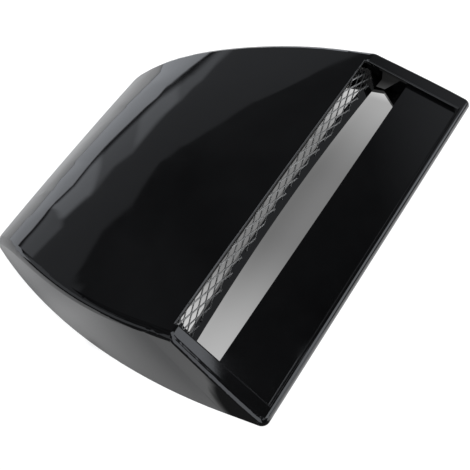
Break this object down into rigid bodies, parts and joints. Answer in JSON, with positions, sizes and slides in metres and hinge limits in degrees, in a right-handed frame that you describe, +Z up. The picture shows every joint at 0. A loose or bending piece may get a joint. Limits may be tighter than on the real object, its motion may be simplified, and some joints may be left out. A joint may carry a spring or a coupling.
{
  "type": "bonnet scoop",
  "caption": "Glossy moulded bonnet scoop: crowned hollow shell with a raked mouth between cheeks, a recessed apron and an expanded-metal mesh behind its lip.",
  "frame": {"origin": "middle of the base, on the surface that the scoop is stuck to", "axes": "+X across to the right as seen from behind the mouth looking rearward, +Y rearward away from the mouth, +Z up from the bonnet"},
  "size_m": [0.3314, 0.2594, 0.0415],
  "materials": {
    "gloss_black": "high-gloss black moulding",
    "bare_mesh": "bare expanded sheet, raw-cut edges"
  },
  "bodies": {
    "root": {"scoop_shell": "gloss_black", "mesh_grille": "bare_mesh"}
  },
  "joints": []
}
